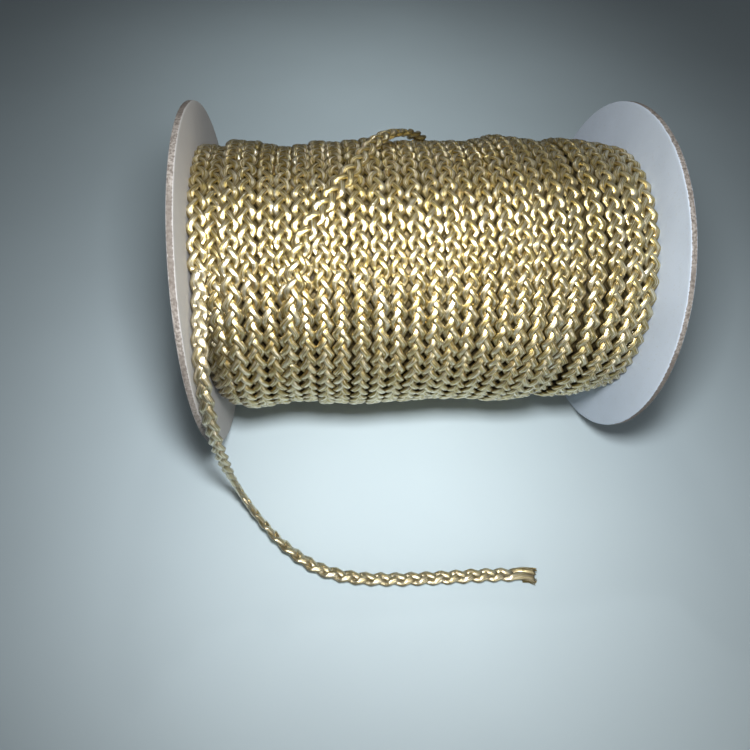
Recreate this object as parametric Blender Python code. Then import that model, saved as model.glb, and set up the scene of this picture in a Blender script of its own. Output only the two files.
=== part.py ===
"""A spool of flat plaited cord: two card flanges, the wound cord between them and its loose end.

Metres, +Z up. The spool's axis runs along X, the side with the loose end faces -Y, and the
origin is on the table, below the middle of the winding.
"""

import math

import bmesh
import bpy
import numpy as np
from mathutils import Vector

# Lengths in the tables below are in millimetres, because the cord is a few millimetres wide.
MM = 0.001

# Card flanges.
FLANGE_RADIUS = 53.7 * MM
FLANGE_THICKNESS = 1.8 * MM
FLANGE_EDGE = 0.25 * MM
FLANGE_SEGMENTS = 72
INNER_WIDTH = 130.0 * MM
FLAT_SPOT = 10.0 * MM
AXIS_HEIGHT = math.sqrt(FLANGE_RADIUS ** 2 - (FLAT_SPOT / 2) ** 2)

# The cord: three flat strands, plaited.
CORD_WIDTH = 4.7 * MM
CORD_THICKNESS = 2.4 * MM
STRAND_WIDTH = 2.3 * MM
STRAND_THICKNESS = 1.4 * MM
PLAIT_LENGTH = 15.0 * MM
STRANDS = 3
SWING = (CORD_WIDTH - STRAND_WIDTH) / 2
DIP = (CORD_THICKNESS - STRAND_THICKNESS) / 2
CORD_SIDES = 10
CORD_STEP = PLAIT_LENGTH / 12

# Gap that keeps neighbouring pieces apart.
CLEARANCE = 0.3 * MM

# The outer turns, left to right: place along the axis and radius at the crown, in millimetres.
TURNS = (
    (-62.5, 41.7), (-58.0, 41.4), (-53.8, 43.2), (-49.3, 42.6), (-44.6, 41.6), (-39.9, 41.5),
    (-34.9, 41.9), (-30.0, 42.4), (-25.1, 42.4), (-19.9, 43.2), (-14.6, 43.3), (-9.4, 42.5),
    (-4.3, 42.6), (0.7, 42.7), (5.6, 42.4), (10.5, 42.4), (15.4, 42.7), (20.2, 43.3),
    (25.0, 43.9), (29.9, 43.6), (34.9, 43.5), (40.2, 42.2), (45.8, 43.0), (51.4, 43.0),
    (57.0, 42.2), (62.4, 40.8),
)
VALLEY_DEPTH = 1.1 * MM
SHOULDER_DEPTH = 0.25 * MM
SHOULDER_PLACE = 0.6
WAVE_HEIGHT = 0.25 * MM
WAVE_SHIFT = 1.7
WINDING_SEGMENTS = 32

# Angles round the axis, seen from the left end: 0 is the back, 90 the top, 180 the front.
RELEASE_ANGLE = 130.0
RELEASE_STEP = 0.8
RECESS_START = 285.0
RECESS_FULL = 255.0

# Below the release the first turn is missing: how far the surface drops at each of its samples.
RECESS_DROPS = (5.0 * MM, 4.4 * MM, 2.9 * MM, 2.1 * MM, 1.4 * MM)

# The turn that crosses the others: place along the axis, angle, radius of the cord's middle.
CROSSING = (
    (-40.1, 166.0, 41.0), (-39.6, 159.0, 42.0), (-39.0, 152.0, 42.9), (-38.2, 145.0, 43.1),
    (-37.3, 137.0, 43.1), (-36.0, 128.0, 43.1), (-33.9, 120.0, 43.1), (-31.0, 114.0, 43.2),
    (-27.2, 106.5, 43.2), (-23.6, 99.5, 43.2), (-20.4, 92.5, 43.3), (-17.2, 85.0, 43.5),
    (-14.2, 77.0, 43.9), (-10.8, 69.5, 44.6), (-7.0, 63.5, 45.0), (-3.0, 58.0, 45.0),
    (0.8, 52.0, 44.6), (3.8, 45.0, 43.7), (5.4, 36.5, 42.8), (6.0, 27.5, 42.0), (6.2, 19.0, 41.0),
)

# The loose end, from where it leaves the winding to its tip.
LOOSE_END = (
    (-62.3, -26.7, 83.7), (-62.3, -31.3, 80.0), (-62.3, -36.8, 77.0), (-62.3, -42.4, 74.0),
    (-62.3, -47.2, 70.0), (-62.3, -50.9, 64.7), (-62.3, -53.5, 58.4), (-62.3, -55.1, 51.4),
    (-62.3, -55.8, 44.0), (-62.3, -55.8, 36.4), (-62.3, -55.4, 28.8), (-61.9, -55.1, 21.2),
    (-60.9, -55.6, 14.3), (-58.8, -57.9, 9.0), (-55.4, -62.2, 6.0), (-51.0, -67.5, 4.6),
    (-46.2, -72.6, 3.6), (-40.6, -77.3, 2.8), (-34.6, -81.0, 2.1), (-28.0, -83.4, 1.6),
    (-20.0, -85.0, 1.4), (-11.0, -85.8, 1.4), (-2.0, -86.2, 1.4), (8.0, -86.4, 1.4),
    (18.0, -86.5, 1.4), (27.5, -86.9, 1.4), (36.0, -87.5, 1.4),
)

# The way the cord's face looks, by the share of the length: it makes half a twist as it falls.
LOOSE_END_FACES = (
    (0.00, (0.0, -0.64, 0.77)), (0.22, (0.0, -0.97, 0.26)), (0.34, (-0.35, -0.94, 0.0)),
    (0.44, (-0.85, -0.5, 0.0)), (0.54, (-0.6, -0.5, -0.6)), (0.64, (-0.1, -0.2, -0.97)),
    (1.00, (0.0, 0.0, -1.0)),
)
LOOSE_STRANDS = 7.0 * MM

# How finely a route's smooth curve is worked out, and the edge angle that stays sharp.
CURVE_FINENESS = 20
SHARP_ANGLE = math.radians(35)

CARD_COLOUR = (0.52, 0.53, 0.53, 1.0)
CORD_COLOUR = (0.47, 0.36, 0.12, 1.0)


def clear_scene():
    for item in list(bpy.data.objects):
        bpy.data.objects.remove(item, do_unlink=True)


def finish(name, colour, roughness, metallic):
    material = bpy.data.materials.new(name)
    material.use_nodes = True
    shader = material.node_tree.nodes["Principled BSDF"]
    shader.inputs["Base Color"].default_value = colour
    shader.inputs["Roughness"].default_value = roughness
    shader.inputs["Metallic"].default_value = metallic
    material.diffuse_color = colour
    return material


def new_object(name, mesh, material, location=(0.0, 0.0, 0.0)):
    mesh.materials.append(material)
    mesh.shade_smooth()
    mesh.set_sharp_from_angle(angle=SHARP_ANGLE)
    item = bpy.data.objects.new(name, mesh)
    item.location = location
    bpy.context.collection.objects.link(item)
    return item


def lofted_mesh(name, rings):
    """A closed mesh through rings of equal length, with a flat cap at either end."""
    build = bmesh.new()
    rows = [[build.verts.new(point) for point in ring] for ring in rings]
    for row, following in zip(rows, rows[1:]):
        for index in range(len(row)):
            after = (index + 1) % len(row)
            build.faces.new((row[index], row[after], following[after], following[index]))
    build.faces.new(list(reversed(rows[0])))
    build.faces.new(rows[-1])
    bmesh.ops.recalc_face_normals(build, faces=build.faces)
    mesh = bpy.data.meshes.new(name)
    build.to_mesh(mesh)
    build.free()
    return mesh


def flange_ring(along, inset):
    """The disc's outline with its flat spot, drawn in by the inset, round the spool's axis."""
    radius = FLANGE_RADIUS - inset
    start = math.asin((inset - AXIS_HEIGHT) / radius)
    angles = np.linspace(start, math.pi - start, FLANGE_SEGMENTS)
    return [(along, radius * math.cos(a), radius * math.sin(a)) for a in angles]


def make_flange(name, side, material):
    half = FLANGE_THICKNESS / 2
    rings = [
        flange_ring(-half, FLANGE_EDGE),
        flange_ring(-half + FLANGE_EDGE, 0.0),
        flange_ring(half - FLANGE_EDGE, 0.0),
        flange_ring(half, FLANGE_EDGE),
    ]
    middle = side * (INNER_WIDTH / 2 + half)
    return new_object(name, lofted_mesh(name, rings), material, (middle, 0.0, AXIS_HEIGHT))


def recess_share(angle):
    """How much of the first turn is missing at an angle: 0 where it lies, 1 below its release."""
    start = RELEASE_ANGLE + RELEASE_STEP
    return float(np.interp(angle, (RELEASE_ANGLE, start, RECESS_FULL, RECESS_START), (0, 1, 1, 0)))


def winding_samples():
    """Rows of (place along the axis, radius, turn number, drop in the recess), left to right."""
    centres = [place * MM for place, _ in TURNS]
    crowns = [crown * MM for _, crown in TURNS]
    end = INNER_WIDTH / 2 - CLEARANCE
    edges = [-end] + [(a + b) / 2 for a, b in zip(centres, centres[1:])] + [end]
    samples = []
    for turn, (centre, crown) in enumerate(zip(centres, crowns)):
        left, right = edges[turn], edges[turn + 1]
        floor = min(crown, crowns[max(turn - 1, 0)]) - VALLEY_DEPTH
        places = (
            (left, floor),
            (centre + (left - centre) * SHOULDER_PLACE, crown - SHOULDER_DEPTH),
            (centre, crown),
            (centre + (right - centre) * SHOULDER_PLACE, crown - SHOULDER_DEPTH),
        )
        for index, (place, radius) in enumerate(places):
            drop = RECESS_DROPS[index] if turn == 0 else 0.0
            if turn == 1 and index == 0:
                drop = RECESS_DROPS[-1]
            samples.append((place, radius, turn, drop))
    samples.append((end, crowns[-1] - VALLEY_DEPTH, len(TURNS) - 1, 0.0))
    return samples


def winding_mesh():
    """The wound form: a ridge for each turn, none of them quite round."""
    even = RELEASE_ANGLE + np.linspace(0.0, 360.0, WINDING_SEGMENTS, endpoint=False)
    angles = sorted(angle % 360.0 for angle in [*even, RELEASE_ANGLE + RELEASE_STEP])
    rings = []
    for place, radius, turn, drop in winding_samples():
        ring = []
        for angle in angles:
            turned = math.radians(angle)
            wave = WAVE_HEIGHT * math.sin(2 * turned + WAVE_SHIFT * turn)
            reach = radius + wave - drop * recess_share(angle)
            ring.append((place, reach * math.cos(turned), reach * math.sin(turned)))
        rings.append(ring)
    return lofted_mesh("winding", rings)


def smooth_route(points, step):
    """Evenly spaced points on a smooth curve through the given points."""
    knots = np.array(points, dtype=float)
    padded = np.vstack([2 * knots[0] - knots[1], knots, 2 * knots[-1] - knots[-2]])
    fine = []
    for index in range(1, len(padded) - 2):
        p0, p1, p2, p3 = padded[index - 1:index + 3]
        for t in np.linspace(0.0, 1.0, CURVE_FINENESS, endpoint=False):
            fine.append(0.5 * (2 * p1 + (p2 - p0) * t + (2 * p0 - 5 * p1 + 4 * p2 - p3) * t ** 2
                               + (3 * p1 - p0 - 3 * p2 + p3) * t ** 3))
    fine.append(padded[-2])
    fine = np.array(fine)
    run = np.concatenate([[0.0], np.cumsum(np.linalg.norm(np.diff(fine, axis=0), axis=1))])
    count = max(2, round(run[-1] / step) + 1)
    stations = np.linspace(0.0, run[-1], count)
    return stations, np.stack([np.interp(stations, run, fine[:, i]) for i in range(3)], axis=1)


def cord_reach(phase, angle):
    """Distance from the cord's middle to the plait's surface, at a phase and in a direction."""
    across, up = math.cos(angle), math.sin(angle)
    half_width, half_thickness = STRAND_WIDTH / 2, STRAND_THICKNESS / 2
    reach = half_thickness
    for strand in range(STRANDS):
        turned = phase + strand * math.tau / STRANDS
        side = SWING * math.sin(turned) / half_width
        height = DIP * math.sin(2 * turned) / half_thickness
        ray = (across / half_width, up / half_thickness)
        a = ray[0] ** 2 + ray[1] ** 2
        b = ray[0] * side + ray[1] * height
        c = side ** 2 + height ** 2 - 1.0
        root = b * b - a * c
        if root > 0.0:
            reach = max(reach, (b + math.sqrt(root)) / a)
    return reach


def cord_mesh(name, points, face_at, loose=0.0):
    """A plaited cord along a route, its strands side by side over the loose length at its tip.

    face_at gives the way the cord's face looks, from the share of its length and the place.
    """
    stations, places = smooth_route(points, CORD_STEP)
    length = stations[-1]
    rings = []
    for station, place, tangent in zip(stations, places, np.gradient(places, axis=0)):
        tangent = Vector(tangent).normalized()
        side = tangent.cross(Vector(face_at(station / length, place))).normalized()
        face = side.cross(tangent)
        phase = math.tau * min(station, length - loose) / PLAIT_LENGTH
        ring = []
        for index in range(CORD_SIDES):
            angle = math.tau * index / CORD_SIDES
            reach = cord_reach(phase, angle)
            offset = side * reach * math.cos(angle) + face * reach * math.sin(angle)
            ring.append(Vector(place) + offset)
        rings.append(ring)
    return lofted_mesh(name, rings)


def away_from_axis(share, place):
    return (0.0, place[1], place[2])


def loose_end_face(share, place):
    shares = [row[0] for row in LOOSE_END_FACES]
    return [np.interp(share, shares, [row[1][i] for row in LOOSE_END_FACES]) for i in range(3)]


def crossing_points():
    points = []
    for place, angle, radius in CROSSING:
        turned = math.radians(angle)
        points.append((place * MM, radius * MM * math.cos(turned), radius * MM * math.sin(turned)))
    return points


def make_winding(material):
    """The winding, joined with the turn that crosses it."""
    location = (0.0, 0.0, AXIS_HEIGHT)
    winding = new_object("winding", winding_mesh(), material, location)
    crossing_mesh = cord_mesh("crossing_turn", crossing_points(), away_from_axis)
    crossing = new_object("crossing_turn", crossing_mesh, material, location)
    crossing.hide_render = True
    crossing.display_type = "WIRE"
    union = winding.modifiers.new("crossing turn", "BOOLEAN")
    union.operation = "UNION"
    union.object = crossing
    return winding


def make_loose_end(material):
    points = [(x * MM, y * MM, z * MM) for x, y, z in LOOSE_END]
    mesh = cord_mesh("loose_end", points, loose_end_face, LOOSE_STRANDS)
    return new_object("loose_end", mesh, material)


def main():
    clear_scene()
    make_flange("flange_left", -1.0, finish("left_card", CARD_COLOUR, 0.75, 0.0))
    make_flange("flange_right", 1.0, finish("right_card", CARD_COLOUR, 0.75, 0.0))
    make_winding(finish("wound_cord", CORD_COLOUR, 0.38, 0.6))
    make_loose_end(finish("loose_cord", CORD_COLOUR, 0.38, 0.6))


main()
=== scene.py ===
# %% [markdown]
# The object is a spool of flat plaited cord in pale metallic gold. Two card discs hold the cord
# between them, one turn crosses over the others, and the free end hangs down at the front and
# lies on the table. The CAD model gives every size and place, so the lesson starts by loading
# it and keeps to its frame: metres, the spool's axis along X, the front facing -Y.

# %% Load the CAD frame
import math
import bpy
import numpy as np
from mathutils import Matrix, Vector


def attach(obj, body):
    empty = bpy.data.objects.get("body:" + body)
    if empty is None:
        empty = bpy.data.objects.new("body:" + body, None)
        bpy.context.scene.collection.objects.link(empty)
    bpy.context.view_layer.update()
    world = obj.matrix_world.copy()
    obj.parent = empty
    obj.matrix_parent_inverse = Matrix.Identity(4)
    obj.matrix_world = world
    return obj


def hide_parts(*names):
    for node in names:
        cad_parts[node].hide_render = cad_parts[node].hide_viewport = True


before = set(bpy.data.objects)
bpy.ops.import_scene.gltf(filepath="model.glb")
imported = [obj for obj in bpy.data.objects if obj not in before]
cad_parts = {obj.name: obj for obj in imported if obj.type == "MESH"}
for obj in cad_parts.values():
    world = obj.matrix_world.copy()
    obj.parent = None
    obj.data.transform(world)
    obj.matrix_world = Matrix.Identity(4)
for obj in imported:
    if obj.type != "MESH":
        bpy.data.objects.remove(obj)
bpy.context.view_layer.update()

MM = 0.001

# %% [markdown]
# The picture was taken from close by, above the front edge, a little left of the middle. A short
# lens so near the spool shows much of the right disc's inner face and the left disc almost edge
# on, so the place, the turn and the lens all have to be right before any piece can be compared
# with the real thing.

# %% Camera
CAMERA_PLACE = (-0.03006, -0.14062, 0.19279)
CAMERA_TURN = (35.742, -2.674, -4.615)
CAMERA_LENS = 27.8
CAMERA_SENSOR = 36.0

camera_data = bpy.data.cameras.new("camera")
camera_data.lens = CAMERA_LENS
camera_data.sensor_width = CAMERA_SENSOR
camera_data.clip_start = 0.01
camera = bpy.data.objects.new("camera", camera_data)
camera.location = CAMERA_PLACE
camera.rotation_euler = [math.radians(angle) for angle in CAMERA_TURN]
bpy.context.collection.objects.link(camera)
bpy.context.scene.camera = camera
print("camera at", CAMERA_PLACE)

# %% [markdown]
# Every tree of nodes below is built with the same few helpers, so that a step reads as what it
# works out and not as a list of links. A value can be a plain number or another node's output.

# %% Helpers for node trees
def connect(tree, value, socket):
    """Link another node's output to a socket, or set a plain value on it."""
    if isinstance(value, bpy.types.NodeSocket):
        tree.links.new(value, socket)
    else:
        socket.default_value = value


def place_node(tree, kind, inputs=(), **settings):
    """A new node with its settings, then its inputs by name or number."""
    made = tree.nodes.new(kind)
    for name, value in settings.items():
        setattr(made, name, value)
    for key, value in dict(inputs).items():
        connect(tree, value, made.inputs[key])
    return made


def calculate(tree, operation, *values):
    return place_node(tree, "ShaderNodeMath", enumerate(values), operation=operation).outputs[0]


def combine(tree, *parts):
    return place_node(tree, "ShaderNodeCombineXYZ", enumerate(parts)).outputs[0]


def scale_by(tree, vector, factor):
    inputs = {0: vector, "Scale": factor}
    return place_node(tree, "ShaderNodeVectorMath", inputs, operation="SCALE").outputs[0]


def add_vectors(tree, first, *others):
    total = first
    for other in others:
        pair = {0: total, 1: other}
        total = place_node(tree, "ShaderNodeVectorMath", pair, operation="ADD").outputs[0]
    return total


def new_tree(name, kind, inputs, outputs):
    """A node group with its named sockets. Returns the tree, its input node and output node."""
    tree = bpy.data.node_groups.new(name, kind)
    for title, socket_kind, default in inputs:
        socket = tree.interface.new_socket(title, in_out="INPUT", socket_type=socket_kind)
        if default is not None:
            socket.default_value = default
    for title, socket_kind in outputs:
        tree.interface.new_socket(title, in_out="OUTPUT", socket_type=socket_kind)
    return tree, tree.nodes.new("NodeGroupInput"), tree.nodes.new("NodeGroupOutput")


def finish_modifier(item):
    """Turn the result of an object's modifiers into its own plain mesh."""
    graph = bpy.context.evaluated_depsgraph_get()
    rough = item.data
    item.data = bpy.data.meshes.new_from_object(item.evaluated_get(graph), depsgraph=graph)
    item.data.name = item.name
    item.modifiers.clear()
    bpy.data.meshes.remove(rough)
    triangles = sum(len(face.vertices) - 2 for face in item.data.polygons)
    print(item.name, "has", triangles, "triangles")
    return item


def use_tree(item, tree, **values):
    """Put a Geometry Nodes tree on an object and set its inputs by their identifiers."""
    modifier = item.modifiers.new(tree.name, "NODES")
    modifier.node_group = tree
    identifiers = {
        socket.name: socket.identifier
        for socket in tree.interface.items_tree
        if socket.item_type == "SOCKET" and socket.in_out == "INPUT"
    }
    for name, value in values.items():
        modifier[identifiers[name.replace("_", " ").capitalize()]] = value
    return finish_modifier(item)


# %% [markdown]
# The cord is made of thin bright filaments, laid side by side into three strands. Filaments are
# far too many to model, so they are colour and bump that follow each strand. The strands carry
# an attribute for it: the cosine and sine of the angle round the strand, and the run along it.
# A noise that is stretched along the run gives long bright and dark lines, as on the real yarn.
# A second attribute, rise, says how high in the cord a point lies, so that the deep parts between
# the strands can be painted darker, as painted shade.

# %% Effect groups that several materials share
def filament_group():
    """Long thin lines along a strand, as a mask and as a height."""
    tree, given, result = new_tree(
        "filaments",
        "ShaderNodeTree",
        (
            ("Yarn", "NodeSocketVector", None),
            ("Fineness", "NodeSocketFloat", 4.5),
            ("Stretch", "NodeSocketFloat", 0.2),
        ),
        (("Lines", "NodeSocketFloat"), ("Patches", "NodeSocketFloat")),
    )
    parts = place_node(tree, "ShaderNodeSeparateXYZ", {0: given.outputs["Yarn"]})
    across = [calculate(tree, "MULTIPLY", parts.outputs[i], given.outputs["Fineness"]) for i in (0, 1)]
    run = calculate(tree, "MULTIPLY", parts.outputs[2], given.outputs["Stretch"])
    lines = place_node(
        tree,
        "ShaderNodeTexNoise",
        {"Vector": combine(tree, *across, run), "Scale": 1.0, "Detail": 3.0, "Roughness": 0.6},
    )
    slow = combine(tree, parts.outputs[0], parts.outputs[1], calculate(tree, "MULTIPLY", run, 1.6))
    patches = place_node(
        tree,
        "ShaderNodeTexNoise",
        {"Vector": slow, "Scale": 0.9, "Detail": 2.0},
    )
    connect(tree, lines.outputs[0], result.inputs["Lines"])
    connect(tree, patches.outputs[0], result.inputs["Patches"])
    return tree


def speckle_group():
    """Fine grain and broad stains, for card and paper."""
    tree, given, result = new_tree(
        "grain and stains",
        "ShaderNodeTree",
        (
            ("Place", "NodeSocketVector", None),
            ("Grain", "NodeSocketFloat", 1500.0),
            ("Stain", "NodeSocketFloat", 45.0),
        ),
        (("Grain", "NodeSocketFloat"), ("Stain", "NodeSocketFloat")),
    )
    for title, detail in (("Grain", 4.0), ("Stain", 5.0)):
        noise = place_node(
            tree,
            "ShaderNodeTexNoise",
            {"Vector": given.outputs["Place"], "Scale": given.outputs[title], "Detail": detail},
        )
        connect(tree, noise.outputs[0], result.inputs[title])
    return tree


FILAMENTS = filament_group()
SPECKLE = speckle_group()
print("effect groups:", FILAMENTS.name, "and", SPECKLE.name)

# %% Helpers for materials
def new_material(name, roughness, metallic):
    """A material with its Principled shader, and the tree to build in."""
    material = bpy.data.materials.new(name)
    material.use_nodes = True
    shader = material.node_tree.nodes["Principled BSDF"]
    shader.inputs["Roughness"].default_value = roughness
    shader.inputs["Metallic"].default_value = metallic
    return material, material.node_tree, shader


def ramp(tree, value, *stops):
    """A colour ramp through (place, colour) stops."""
    made = place_node(tree, "ShaderNodeValToRGB", {0: value})
    elements = made.color_ramp.elements
    while len(elements) < len(stops):
        elements.new(0.5)
    for element, (place, colour) in zip(elements, stops):
        element.position = place
        element.color = (*colour, 1.0)
    return made.outputs[0]


def mix(tree, factor, first, second, blend="MIX"):
    made = tree.nodes.new("ShaderNodeMix")
    made.data_type = "RGBA"
    made.blend_type = blend
    connect(tree, factor, made.inputs[0])
    connect(tree, first, made.inputs[6])
    connect(tree, second, made.inputs[7])
    return made.outputs[2]


def remap(tree, value, low, high, new_low=0.0, new_high=1.0):
    inputs = enumerate((value, low, high, new_low, new_high))
    return place_node(tree, "ShaderNodeMapRange", inputs).outputs[0]


def raise_surface(tree, shader, height, strength, distance):
    inputs = {"Height": height, "Strength": strength, "Distance": distance}
    bump = place_node(tree, "ShaderNodeBump", inputs)
    connect(tree, bump.outputs[0], shader.inputs["Normal"])


def attribute(tree, name):
    return place_node(tree, "ShaderNodeAttribute", attribute_name=name)


# %% [markdown]
# The yarn is plastic film with a metal coat, so it shines like metal: nearly white where the lamp
# is mirrored, olive brown where the dark room is. Here and there the coat has rubbed thin and
# the brown film below shows. All of this comes from the shader and the filament lines, with painted
# shade on top: the strands' flanks and the deep parts between them are darkened in the colour.

# %% Gold yarn material
YARN_DARK_LINES_AND_SHADE = (0.17, 0.115, 0.03)
YARN_MIDDLE = (0.50, 0.39, 0.13)
YARN_LIGHT = (0.92, 0.87, 0.70)
YARN_FLANK_PAINTED_SHADE = (0.27, 0.20, 0.04)
YARN_RUBBED = (0.34, 0.16, 0.04)
YARN_COAT = 0.6
YARN_COAT_ROUGHNESS = 0.12
YARN_PAINTED_SHADE = 0.6
YARN_RELIEF = 0.16 * MM


def gold_yarn(name, light_or_shade_tint=None, share=0.0):
    """Metal-coated yarn. A tint, where there is one, is mixed into it by its share: a dark tint gives
    painted shade, a pale one painted light.
    """
    material, tree, shader = new_material(name, 0.3, 0.95)
    shader.inputs["Coat Weight"].default_value = YARN_COAT
    shader.inputs["Coat Roughness"].default_value = YARN_COAT_ROUGHNESS
    yarn = attribute(tree, "yarn").outputs["Vector"]
    rise = attribute(tree, "rise").outputs["Fac"]
    threads = place_node(tree, "ShaderNodeGroup", node_tree=FILAMENTS)
    connect(tree, yarn, threads.inputs["Yarn"])
    lines = threads.outputs["Lines"]
    colour = ramp(tree, lines, (0.32, YARN_DARK_LINES_AND_SHADE), (0.46, YARN_MIDDLE), (0.62, YARN_LIGHT))
    rubbed = remap(tree, threads.outputs["Patches"], 0.62, 0.72, 0.0, 0.55)
    colour = mix(tree, rubbed, colour, (*YARN_RUBBED, 1.0))
    crown = place_node(tree, "ShaderNodeSeparateXYZ", {0: yarn}).outputs[1]
    # Painted shade: the strand's flanks, away from its crest, are darkened towards the flank colour.
    flank_painted_shade = remap(tree, calculate(tree, "ABSOLUTE", crown), 0.4, 0.9, YARN_PAINTED_SHADE, 0.0)
    colour = mix(tree, flank_painted_shade, colour, (*YARN_FLANK_PAINTED_SHADE, 1.0))
    # Painted shade: points near the middle of the cord's depth, deep between the strands, are darkened.
    low = remap(tree, calculate(tree, "ABSOLUTE", rise), 0.1, 0.6, YARN_PAINTED_SHADE, 0.0)
    colour = mix(tree, low, colour, (*YARN_DARK_LINES_AND_SHADE, 1.0))
    if light_or_shade_tint:
        colour = mix(tree, share, colour, (*light_or_shade_tint, 1.0))
    connect(tree, colour, shader.inputs["Base Color"])
    connect(tree, remap(tree, lines, 0.3, 0.7, 0.43, 0.28), shader.inputs["Roughness"])
    raise_surface(tree, shader, lines, 0.7, YARN_RELIEF)
    return material


OUTER_YARN = gold_yarn("outer yarn")
# The lower turns' yarn is the same gold mixed a quarter towards near-black: painted shade for the shade
# under the outer turns.
LOWER_YARN_PAINTED_SHADE = gold_yarn("lower yarn painted shade", (0.03, 0.02, 0.01), 0.25)
# The loose end's yarn is the same gold mixed a little towards white: painted light, for how brightly the
# lamp falls on it.
LOOSE_YARN_PAINTED_LIGHT = gold_yarn("loose yarn painted light", (0.82, 0.82, 0.80), 0.14)
print("yarn materials:", OUTER_YARN.name, LOWER_YARN_PAINTED_SHADE.name, LOOSE_YARN_PAINTED_LIGHT.name)

# %% [markdown]
# A flat three-strand plait is a rule, not a drawing. Seen along the cord, each strand runs round
# a figure of eight: it swings from edge to edge once while it rises and dips twice, and the three
# strands follow each other a third of a turn apart. So one Geometry Nodes tree can plait along
# any path. It takes a cylinder for each strand, reads the ring that each vertex belongs to, and
# moves the vertex to its place on the path with the figure of eight added.

# %% Plait tree: inputs and the path
CORD_WIDTH = 4.7 * MM
CORD_THICKNESS = 2.4 * MM
STRAND_WIDTH = 2.3 * MM
STRAND_THICKNESS = 1.4 * MM
ARM_STRAIGHTNESS = 0.12
DIVE_LENGTH = 0.5
ARM_TILT = 0.3
TIP_OPENING = 0.45
YARN_TWIST = 0.22
UNEVENNESS = 0.1
UNEVEN_PACE = 0.32
SEED_STRIDE = 91.7
STRAND_STRIDE = 31.3
STRAND_RUN = 37.0
PLAIT_LENGTH = 15.0 * MM
WOUND_PLAIT_LENGTH = 14.2 * MM
WOUND_WIDTH = 5.9 * MM
STRANDS = 3
STRAND_SIDES = 12

plait, plait_in, plait_out = new_tree(
    "plait",
    "GeometryNodeTree",
    (
        ("Path", "NodeSocketGeometry", None),
        ("Strands", "NodeSocketInt", STRANDS),
        ("Sides", "NodeSocketInt", STRAND_SIDES),
        ("Half width", "NodeSocketFloat", STRAND_WIDTH / 2),
        ("Half thickness", "NodeSocketFloat", STRAND_THICKNESS / 2),
        ("Swing", "NodeSocketFloat", (CORD_WIDTH - STRAND_WIDTH) / 2),
        ("Dip", "NodeSocketFloat", (CORD_THICKNESS - STRAND_THICKNESS) / 2),
        ("Arm straightness", "NodeSocketFloat", ARM_STRAIGHTNESS),
        ("Dive length", "NodeSocketFloat", DIVE_LENGTH),
        ("Arm tilt", "NodeSocketFloat", ARM_TILT),
        ("Yarn twist", "NodeSocketFloat", YARN_TWIST),
        ("Unevenness", "NodeSocketFloat", UNEVENNESS),
        ("Seed", "NodeSocketInt", 1),
        ("Yarn", "NodeSocketMaterial", None),
    ),
    (("Cord", "NodeSocketGeometry"),),
)


def on_path(name, kind, ring):
    """A value of the path at a ring: one of its attributes, or its position where name is None."""
    if name is None:
        source = place_node(plait, "GeometryNodeInputPosition").outputs[0]
    else:
        source = place_node(plait, "GeometryNodeInputNamedAttribute", {"Name": name}, data_type=kind)
        source = source.outputs[0]
    sample = place_node(plait, "GeometryNodeSampleIndex", data_type=kind, domain="POINT")
    connect(plait, plait_in.outputs["Path"], sample.inputs["Geometry"])
    connect(plait, source, sample.inputs["Value"])
    connect(plait, ring, sample.inputs["Index"])
    return sample.outputs["Value"]


# %% Plait tree: a cylinder for each strand
rings = place_node(plait, "GeometryNodeAttributeDomainSize", {0: plait_in.outputs["Path"]}).outputs[0]
depth = calculate(plait, "SUBTRACT", rings, 1)
tube = place_node(
    plait,
    "GeometryNodeMeshCylinder",
    {"Vertices": plait_in.outputs["Sides"], "Side Segments": depth, "Radius": 1.0, "Depth": depth},
    fill_type="NGON",
)
strand_points = place_node(plait, "GeometryNodeMeshLine", {"Count": plait_in.outputs["Strands"]})
strand_points.inputs["Offset"].default_value = (0.0, 0.0, 0.0)
numbered = place_node(
    plait,
    "GeometryNodeStoreNamedAttribute",
    {"Geometry": strand_points.outputs[0], "Name": "strand"},
    data_type="FLOAT",
    domain="POINT",
)
connect(plait, place_node(plait, "GeometryNodeInputIndex").outputs[0], numbered.inputs["Value"])
copies = place_node(
    plait,
    "GeometryNodeInstanceOnPoints",
    {"Points": numbered.outputs[0], "Instance": tube.outputs[0]},
)
realized = place_node(plait, "GeometryNodeRealizeInstances", {0: copies.outputs[0]})

# %% Plait tree: where each vertex is on its ring
corner = place_node(plait, "GeometryNodeInputPosition").outputs[0]
corner = place_node(plait, "ShaderNodeSeparateXYZ", {0: corner}).outputs
half_depth = calculate(plait, "DIVIDE", depth, 2)
ring_number = calculate(plait, "ROUND", calculate(plait, "ADD", corner[2], half_depth))
strand = place_node(plait, "GeometryNodeInputNamedAttribute", {"Name": "strand"}, data_type="FLOAT")
strand = strand.outputs[0]
phase = on_path("phase", "FLOAT", ring_number)
loosened = on_path("loosened", "FLOAT", ring_number)
shift = calculate(plait, "MULTIPLY", strand, math.tau / STRANDS)
turned = calculate(plait, "ADD", phase, shift)

flat_angle = calculate(plait, "ARCTAN2", corner[1], corner[0])
twisted = calculate(plait, "MULTIPLY_ADD", phase, plait_in.outputs["Yarn twist"], flat_angle)

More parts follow.
